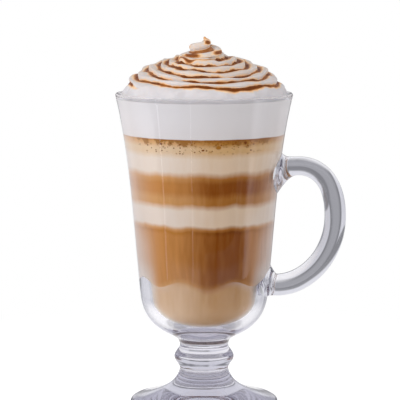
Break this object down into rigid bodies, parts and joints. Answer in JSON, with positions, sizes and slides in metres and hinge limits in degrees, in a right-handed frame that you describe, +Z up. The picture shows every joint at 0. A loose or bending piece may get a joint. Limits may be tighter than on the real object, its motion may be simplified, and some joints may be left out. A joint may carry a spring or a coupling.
{
  "type": "glass of layered coffee",
  "caption": "Footed glass mug with a knopped stem and a loop handle, filled with layered milk coffee under a piped swirl of whipped cream with a syrup drizzle.",
  "frame": {"origin": "centre of the foot's underside, on the axis of the glass", "axes": "+Z up along the axis of the glass, +X towards the handle, -Y towards the front"},
  "size_m": [0.1027, 0.0788, 0.1661],
  "materials": {
    "clear_glass": "polished",
    "milk_coffee": "liquid",
    "coffee": "liquid",
    "lower_milk": "liquid",
    "caramel_coffee": "liquid",
    "upper_milk": "liquid",
    "crema": "fine froth",
    "foam": "fine froth",
    "cream": "soft",
    "syrup": "wet"
  },
  "bodies": {
    "root": {"glass_bowl": "clear_glass", "glass_stem": "clear_glass", "glass_foot": "clear_glass", "glass_handle": "clear_glass", "milk_coffee_layer": "milk_coffee", "coffee_layer": "coffee", "lower_milk_layer": "lower_milk", "caramel_coffee_layer": "caramel_coffee", "upper_milk_layer": "upper_milk", "crema_layer": "crema", "milk_foam": "foam", "whipped_cream": "cream", "cream_peak": "cream", "syrup_drizzle": "syrup"}
  },
  "joints": []
}
